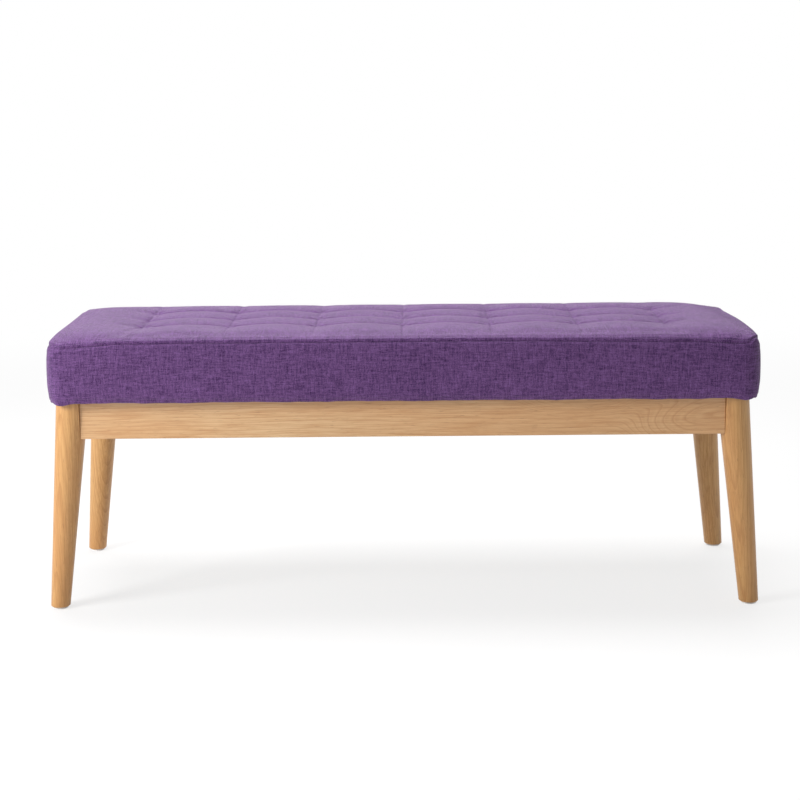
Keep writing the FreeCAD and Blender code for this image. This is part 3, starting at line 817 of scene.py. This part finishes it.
# %% Divide the cushion
smooth = cushion.modifiers.new("divide", "SUBSURF")
smooth.levels = 1
smooth.render_levels = 1
cushion.vertex_groups.clear()
divided = cushion.evaluated_get(bpy.context.evaluated_depsgraph_get())
fine = bpy.data.meshes.new_from_object(divided)
co = np.zeros(len(fine.vertices) * 3)
fine.vertices.foreach_get("co", co)
co = co.reshape(-1, 3)
seam_distance = np.zeros(len(co))
fine.attributes["from_seam"].data.foreach_get("value", seam_distance)
normals = np.zeros(len(co) * 3, dtype=np.float32)
fine.vertices.foreach_get("normal", normals)
normals = normals.reshape(-1, 3).astype(float)
print("divided cushion:", len(co), "vertices")


# %% Press in the seams and channels
def hollow(distance, width):
    """1 on a line and 0 away from it, with a sharp bottom."""
    return np.exp(-np.abs(distance) / width)


def mound(distance, width):
    """1 on a line and 0 away from it, with a round top."""
    return np.exp(-((distance / width) ** 2))


panel = seam_distance < -1e-6
to_x = np.abs(co[:, [0]] - line_places[None]).min(axis=1)
to_y = np.abs(co[:, [1]] - lines_y[None]).min(axis=1)
to_tuft = np.hypot(to_x, to_y)
beyond = np.clip((np.abs(co[:, 0] - moved_right) - lines_x[-1]) / 0.05, 0, 1)
near_seam = np.clip((-seam_distance - 0.006) / 0.03, 0, 1)
strain = 0.5 + 0.5 * mound(to_tuft, 0.035)
crosswise = 0.0013 * hollow(to_x, 0.0013) * strain * np.clip(near_seam + 0.5, 0, 1)
lengthwise = 0.0022 * hollow(to_y, 0.0016) * strain * (1 - beyond) * np.clip(near_seam, 0, 1)
press = np.maximum(crosswise, lengthwise)
nearest_x = line_places[np.abs(co[:, [0]] - line_places[None]).argmin(axis=1)]
nearest_y = lines_y[np.abs(co[:, [1]] - lines_y[None]).argmin(axis=1)]
turn = np.arctan2(co[:, 1] - nearest_y, co[:, 0] - nearest_x)
in_reach = panel & (to_tuft < 0.05)
gathers = 0.0007 * np.sin(turn * 7 + co[:, 0] * 40) * mound(to_tuft - 0.012, 0.010)
press += np.where(in_reach, gathers, 0)
press = np.where(panel, press, 0)

seam_press = 0.0028 * hollow(seam_distance, 0.0014)
seam_press -= 0.0011 * mound(seam_distance + 0.0032, 0.0018)
seam_press += 0.0007 * mound(seam_distance + 0.0065, 0.0016)
seam_press -= 0.0006 * mound(seam_distance - 0.005, 0.003)
hem_at = 0.0915
hem_press = 0.0008 * hollow(seam_distance - hem_at, 0.0012)
press = press + seam_press + hem_press
co -= normals * press[:, None]
print("deepest groove:", (press.max() * 1000).round(2), "mm")

# %% Let the lower edge wave and sag
angle = co[:, 0] * 31.0 + co[:, 1] * 47.0
wave = 0.0007 * np.sin(angle) + 0.0005 * np.sin(angle * 2.7 + 1.3) + 0.0003 * np.sin(angle * 6.1)
edge_band = np.clip((seam_distance - 0.075) / 0.02, 0, 1)
frame_side_x = 0.5685
frame_side_y = 0.1850
corner_x = 0.572
corner_y = 0.191
out_x = np.abs(co[:, 0]) - frame_side_x
out_y = np.abs(co[:, 1]) - frame_side_y
outside = np.clip(np.maximum(out_x, out_y) / 0.008, 0, 1)
corner = mound(np.hypot(np.abs(co[:, 0]) - corner_x, np.abs(co[:, 1]) - corner_y), 0.030)
sag = wave - 0.0045 * corner
co[:, 2] += sag * edge_band * outside
fine.vertices.foreach_set("co", co.ravel())
fine.update()
print("lower edge sags by up to", (-sag.min() * 1000).round(2), "mm")

# %% Part the cushion into top panel and boxing
def part_of(number, name):
    """One of the two pieces of cloth, as an object of its own."""
    piece = bpy.data.objects.new(name, fine.copy())
    bpy.context.scene.collection.objects.link(piece)
    made = bmesh.new()
    made.from_mesh(piece.data)
    others = [face for face in made.faces if face.material_index != number]
    bmesh.ops.delete(made, geom=others, context="FACES")
    made.to_mesh(piece.data)
    made.free()
    piece.data.materials.clear()
    piece.data.materials.append(cloth)
    first_slot = np.zeros(len(piece.data.polygons), dtype=np.int32)
    piece.data.polygons.foreach_set("material_index", first_slot)
    piece.data.shade_smooth()
    print(name, len(piece.data.polygons) * 2, "triangles")
    return piece


top_panel = part_of(0, "cushion_top_panel")
boxing = part_of(1, "cushion_boxing")
bpy.data.objects.remove(cushion)

# %% [markdown]
# ## Stitches
# A row of small stitches runs just above the seam, another holds the hem's band, and the sewn
# lines of the top are stitched through. A stitch is a short thread that goes into the cloth at
# both ends. Geometry Nodes put the same small stitch along each path, lay it on the nearest
# cloth, and turn it to the path. An array on a curve could do this too, but it would float above
# the cloth where that dips. One rule serves some three thousand stitches, and its result is kept
# as a plain mesh.

# %% Build the stitch rule
def stitch_rule():
    """A node group that turns the edges it gets into rows of stitches on a cloth."""
    tree = bpy.data.node_groups.new("stitches", "GeometryNodeTree")
    tree.interface.new_socket("Geometry", in_out="INPUT", socket_type="NodeSocketGeometry")
    tree.interface.new_socket("Cloth", in_out="INPUT", socket_type="NodeSocketObject")
    for name in ("Pitch", "Length", "Thread"):
        tree.interface.new_socket(name, in_out="INPUT", socket_type="NodeSocketFloat")
    tree.interface.new_socket("Colour", in_out="INPUT", socket_type="NodeSocketMaterial")
    tree.interface.new_socket("Geometry", in_out="OUTPUT", socket_type="NodeSocketGeometry")
    Socket.tree = tree
    start = Socket.make("NodeGroupInput")
    cloth_object, pitch, length, thread, colour = [start.others(number) for number in range(1, 6)]
    settings = {"transform_space": "ORIGINAL"}
    surface = Socket.make("GeometryNodeObjectInfo", settings, {"Object": cloth_object}, "Geometry")
    curve = Socket.make("GeometryNodeMeshToCurve", inputs={0: start})
    inputs = {"Curve": curve, "Length": pitch}
    places = Socket.make("GeometryNodeCurveToPoints", {"mode": "LENGTH"}, inputs)
    along = places.others("Tangent")
    near = Socket.make("GeometryNodeProximity", {"target_element": "FACES"}, {0: surface})
    laid = Socket.make("GeometryNodeSetPosition", inputs={"Geometry": places, "Position": near})
    faces_out = Socket.make("GeometryNodeInputNormal")
    sampled = Socket.make(
        "GeometryNodeSampleNearestSurface",
        {"data_type": "FLOAT_VECTOR"},
        {"Mesh": surface, "Value": faces_out},
    )
    turn = Socket.make(
        "FunctionNodeAxesToRotation",
        {"primary_axis": "X", "secondary_axis": "Z"},
        {"Primary Axis": along, "Secondary Axis": sampled},
    )
    bead = Socket.make("GeometryNodeMeshUVSphere", inputs={"Segments": 6, "Rings": 4, "Radius": 1.0})
    size = Socket.make("ShaderNodeCombineXYZ", inputs={0: length * 0.5, 1: thread, 2: thread})
    stitch = Socket.make("GeometryNodeTransform", inputs={"Geometry": bead, "Scale": size})
    wiggle = Socket.make(
        "FunctionNodeRandomValue",
        {"data_type": "FLOAT_VECTOR"},
        {"Min": (0.9, 0.85, 0.85), "Max": (1.05, 1.15, 1.15), "Seed": 7},
    )
    copies = Socket.make(
        "GeometryNodeInstanceOnPoints",
        inputs={"Points": laid, "Instance": stitch, "Rotation": turn, "Scale": wiggle},
    )
    real = Socket.make("GeometryNodeRealizeInstances", inputs={0: copies})
    done = Socket.make("GeometryNodeSetMaterial", inputs={"Geometry": real, "Material": colour})
    end = tree.nodes.new("NodeGroupOutput")
    tree.links.new(done.link, end.inputs[0])
    return tree


stitches_tree = stitch_rule()
stitch_inputs = {}
for item in stitches_tree.interface.items_tree:
    if item.in_out == "INPUT":
        stitch_inputs[item.name] = item.identifier
print("stitch rule:", len(stitches_tree.nodes), "nodes, inputs", sorted(stitch_inputs))

# %% Finish the sewing thread
def thread_finish(name, dark, light):
    """A twisted thread with a little lint."""
    start_material(name)
    x, y, z = on_object()
    ply = (x * 5200.0 + y * 5200.0 + z * 4100.0).sine() * 0.5 + 0.5
    lint = noise(vector(x * 2500.0, y * 2500.0, z * 2500.0), 2.0)
    inputs = {
        "Base Color": mixed(ply * 0.5 + lint * 0.5, dark, light),
        "Roughness": 0.5 + lint * 0.2,
        "Normal": bump(ply, 0.00006),
        "Sheen Weight": 0.3,
    }
    return material(name, inputs, light)


# The seam thread is paler than the cloth: partly a paler thread, and partly a painted highlight for
# the light that the ridge above the seam catches.
seam_thread_and_painted_highlight = thread_finish("seam_thread_and_painted_highlight", (0.10, 0.045, 0.155), (0.30, 0.175, 0.40))
dark_thread = thread_finish("channel_thread", (0.055, 0.020, 0.085), (0.17, 0.085, 0.235))

# %% Sew along the paths
def sewn(name, paths, cloth_object, pitch, length, thread, colour):
    """Stitches along lists of points, as one plain mesh."""
    points, edges = [], []
    for path, closed in paths:
        first = len(points)
        points += [tuple(point) for point in path]
        edges += [(first + k, first + k + 1) for k in range(len(path) - 1)]
        if closed:
            edges.append((first + len(path) - 1, first))
    guide = bpy.data.meshes.new(name + "_guide")
    guide.from_pydata(points, edges, [])
    carrier = bpy.data.objects.new(name + "_guide", guide)
    bpy.context.scene.collection.objects.link(carrier)
    rule = carrier.modifiers.new("stitches", "NODES")
    rule.node_group = stitches_tree
    values = {"Cloth": cloth_object, "Pitch": pitch, "Length": length}
    values.update({"Thread": thread, "Colour": colour})
    for key, value in values.items():
        rule[stitch_inputs[key]] = value
    evaluated = carrier.evaluated_get(bpy.context.evaluated_depsgraph_get())
    made = bpy.data.objects.new(name, bpy.data.meshes.new_from_object(evaluated))
    bpy.context.scene.collection.objects.link(made)
    bpy.data.objects.remove(carrier)
    made.data.shade_smooth()
    print(name, len(made.data.polygons), "faces")
    return made


def ring_at(distance):
    """The round of the cushion at a distance down from the seam."""
    height = seam_level - frame_height - distance
    inset = np.interp(height, inset_heights, inset_values)
    ring = seam + outward * (seam_inset - inset)
    ring[:, 2] = frame_height + (seam[:, 2] - frame_height) * height / (seam_level - frame_height)
    return ring + [moved_right, 0, 0]


stitch_length = 0.0034
side_pitch = 0.0038
channel_pitch = 0.0040
above_seam = seam + [moved_right, 0, 0.004] - outward * 0.003
above_cloth = tuft_level + 0.004
channel_paths = []
for x in line_places:
    ys = np.linspace(-reach_y + 0.008, reach_y - 0.008, 120)
    channel_paths.append(([(x, y, above_cloth) for y in ys], False))
for y in lines_y:
    xs = np.linspace(-0.475, 0.475, 300) + moved_right
    channel_paths.append(([(x, y, above_cloth) for x in xs], False))

seam_stitches = sewn(
    "seam_stitches", [(above_seam, True)], top_panel, side_pitch, stitch_length, 0.00030, seam_thread_and_painted_highlight
)
hem_stitches = sewn(
    "hem_stitches", [(ring_at(hem_at), True)], boxing, side_pitch, stitch_length, 0.00026, dark_thread
)
channel_stitches = sewn(
    "channel_stitches", channel_paths, top_panel, channel_pitch, stitch_length, 0.00024, dark_thread
)

# %% [markdown]
# ## Floor, lights and background
# The bench stands on a seamless white floor. One soft lamp stands to the left and front of it, so
# the cloth and the wood grow darker to the right. A larger one hangs above and behind, and makes
# the top of the cushion lighter than its front. The world adds an even, weak light from all
# sides, but shows itself as plain white. The floor looks almost white to the camera, because most
# of what the camera sees of it is a white glow, which grows with the distance from the bench. The
# rest is lit paper, which keeps the shadows. A strong lamp would also give a white floor, but it
# would wash out the colours of the bench.

# %% Make the floor and the background
def seen_plainly():
    """1 for what the camera sees, also in a mirror or through glass, and 0 for light itself."""
    rays = Socket.make("ShaderNodeLightPath")
    seen = rays.sum("MAXIMUM", rays, rays.others("Is Glossy Ray"))
    return rays.sum("MAXIMUM", seen, rays.others("Is Transmission Ray"))


bpy.ops.mesh.primitive_plane_add(size=400.0)
floor = bpy.context.active_object
floor.name = "floor"
start_material("floor_paper")
seen = seen_plainly()
x, y, _ = on_object()
away = ((x * x + y * y) ** 0.5).between(0.9, 3.0)
glow = Socket.make("ShaderNodeEmission", inputs={"Strength": 1.0})
paper = Socket.make("ShaderNodeBsdfDiffuse", inputs={"Color": (0.90, 0.90, 0.90, 1.0)})
share_of_glow = seen * (0.74 + away * 0.26)
both = Socket.make("ShaderNodeMixShader", inputs={0: share_of_glow, 1: paper, 2: glow})
out = Socket.tree.nodes.new("ShaderNodeOutputMaterial")
Socket.tree.links.new(both.link, out.inputs["Surface"])
floor.data.materials.append(bpy.data.materials["floor_paper"])

world = bpy.data.worlds.new("studio")
bpy.context.scene.world = world
world.use_nodes = True
world.node_tree.nodes.clear()
Socket.tree = world.node_tree
seen = seen_plainly()
ambient = 0.28
inputs = {"Color": (1.0, 1.0, 1.0, 1.0), "Strength": ambient + seen * (1.0 - ambient)}
sky = Socket.make("ShaderNodeBackground", inputs=inputs)
out = Socket.tree.nodes.new("ShaderNodeOutputWorld")
Socket.tree.links.new(sky.link, out.inputs["Surface"])
print("floor and background ready")


# %% Hang the lamps
seat_middle = (0.0, 0.0, 0.3)


def lamp(name, place, width, height, power):
    """A soft rectangular lamp that looks at the seat."""
    light = bpy.data.lights.new(name, "AREA")
    light.shape = "RECTANGLE"
    light.size = width
    light.size_y = height
    light.energy = power
    made = bpy.data.objects.new(name, light)
    bpy.context.scene.collection.objects.link(made)
    made.location = place
    made.rotation_euler = (Vector(seat_middle) - Vector(place)).to_track_quat("-Z", "Y").to_euler()
    print(name, "at", place, power, "W")


lamp("key_lamp", (-1.9, -1.1, 1.2), 0.8, 0.8, 42.0)
lamp("top_lamp", (-0.1, 0.5, 2.4), 2.0, 1.2, 68.0)

# %% [markdown]
# ## Tell the frame what stands for what
# The two pieces of cloth replace the CAD's plain top panel and boxing, and the new batting
# replaces the CAD's. `attach` ties a piece to a body, and `hide_parts` hides the CAD node that
# it stands for. All pieces ride on the bench's one body, because nothing on it moves.

# %% Join the pieces to the bench
for piece in (top_panel, boxing, seam_stitches, hem_stitches, channel_stitches):
    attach(piece, "root")
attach(batting_piece, "root")
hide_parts("batting_wrap")
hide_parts("cover_top_panel")
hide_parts("cover_boxing")
